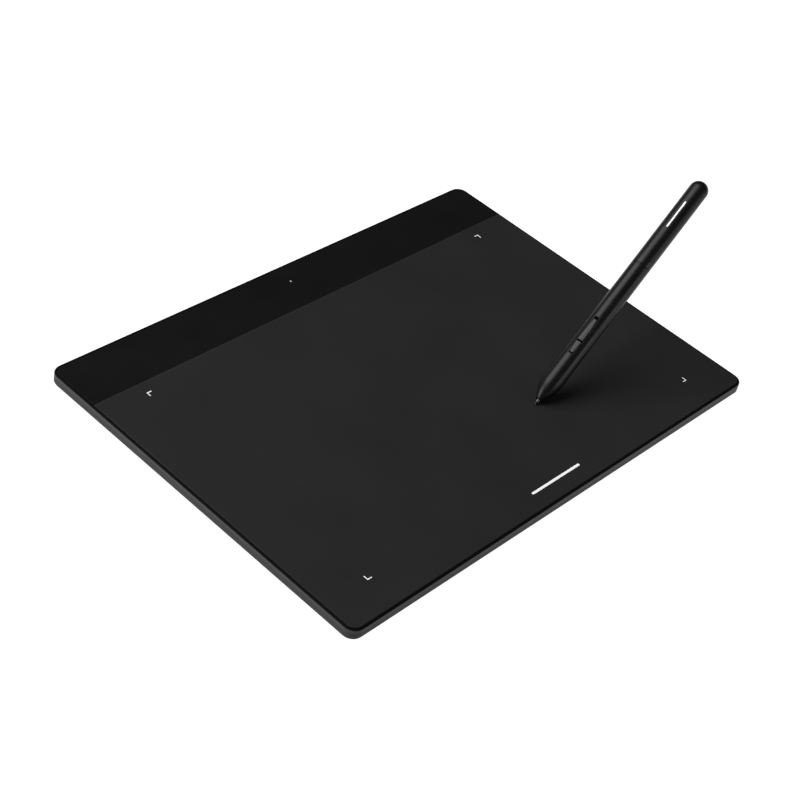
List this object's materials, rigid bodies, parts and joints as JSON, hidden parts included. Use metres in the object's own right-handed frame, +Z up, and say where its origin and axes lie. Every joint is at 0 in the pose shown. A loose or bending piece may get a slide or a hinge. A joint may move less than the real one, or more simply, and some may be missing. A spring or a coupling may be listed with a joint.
{
  "type": "pen drawing tablet with stylus",
  "caption": "Slim rounded-corner graphics tablet with a matte drawing surface, a darker header strip and a USB-C port, and a battery-free pen that leans nib down over it.",
  "frame": {"origin": "on the desk, under the middle of the rectangle that the tablet and its leaning pen cover together; the tablet is centred 5.6 mm to the left of it", "axes": "+X along the tablet's long side to the right, +Y towards the header strip at the back edge, +Z up from the desk"},
  "size_m": [0.3231, 0.2206, 0.0995],
  "materials": {
    "casing_plastic": "fine moulded grain",
    "film_surface": "fine paper-like matte",
    "header_surface": "satin",
    "adhesive": "matte",
    "light_pipe": "frosted",
    "led_body": "gloss",
    "circuit_board": "solder mask",
    "shield_metal": "rolled",
    "chip_plastic": "matte",
    "connector_plastic": "matte",
    "flex_film": "gloss",
    "port_metal": "drawn",
    "port_plastic": "matte",
    "contact_gold": "plated",
    "foot_rubber": "matte",
    "screw_steel": "zinc plated",
    "label_film": "satin",
    "pen_plastic": "soft matte",
    "button_plastic": "fine grain",
    "nib_plastic": "smooth",
    "inner_plastic": "as moulded",
    "pad_rubber": "silicone",
    "ferrite": "sintered",
    "coil_wire": "enamelled",
    "sensor_body": "matte",
    "switch_metal": "pressed",
    "plunger_plastic": "as moulded"
  },
  "bodies": {
    "tablet": {"top_cover": "casing_plastic", "bottom_cover": "casing_plastic", "drawing_film": "film_surface", "header_strip": "header_surface", "film_tape": "adhesive", "board_tape": "adhesive", "light_pipe": "light_pipe", "status_led": "led_body", "sensor_board": "circuit_board", "controller_board": "circuit_board", "shield_sheet": "shield_metal", "shield_can": "shield_metal", "controller_chip": "chip_plastic", "support_chips": "chip_plastic", "flex_connector": "connector_plastic", "flex_cable": "flex_film", "usb_c_shell": "port_metal", "usb_c_insulator": "port_plastic", "usb_c_contacts": "contact_gold", "foot_front_left": "foot_rubber", "foot_front_right": "foot_rubber", "foot_back_left": "foot_rubber", "foot_back_right": "foot_rubber", "case_screws": "screw_steel", "rating_label": "label_film"},
    "pen": {"front_barrel": "pen_plastic", "rear_barrel": "pen_plastic", "coupling_sleeve": "inner_plastic", "return_pad": "pad_rubber", "ferrite_core": "ferrite", "coil": "coil_wire", "pressure_sensor": "sensor_body", "chassis": "inner_plastic", "pen_board": "circuit_board", "pen_components": "chip_plastic", "front_switch": "switch_metal", "rear_switch": "switch_metal"},
    "nib_unit": {"nib": "nib_plastic", "nib_holder": "inner_plastic"},
    "front_key": {"front_button": "button_plastic", "front_plunger": "plunger_plastic"},
    "rear_key": {"rear_button": "button_plastic", "rear_plunger": "plunger_plastic"}
  },
  "joints": [
    {"name": "pen_lift", "type": "slide", "parent": "tablet", "child": "pen", "axis": [0, 0, 1], "range_m": [0, 0.1]},
    {"name": "nib_press", "type": "slide", "parent": "pen", "child": "nib_unit", "axis": [0.8203, 0.079, 0.5664], "range_m": [0, 0.0006], "stiffness_N_per_m": 2000, "deforming": ["return_pad"]},
    {"name": "front_button_press", "type": "slide", "parent": "pen", "child": "front_key", "axis": [0.5638, 0.0543, -0.8241], "range_m": [0, 0.0003], "stiffness_N_per_m": 4000},
    {"name": "rear_button_press", "type": "slide", "parent": "pen", "child": "rear_key", "axis": [0.5638, 0.0543, -0.8241], "range_m": [0, 0.0003], "stiffness_N_per_m": 4000}
  ]
}
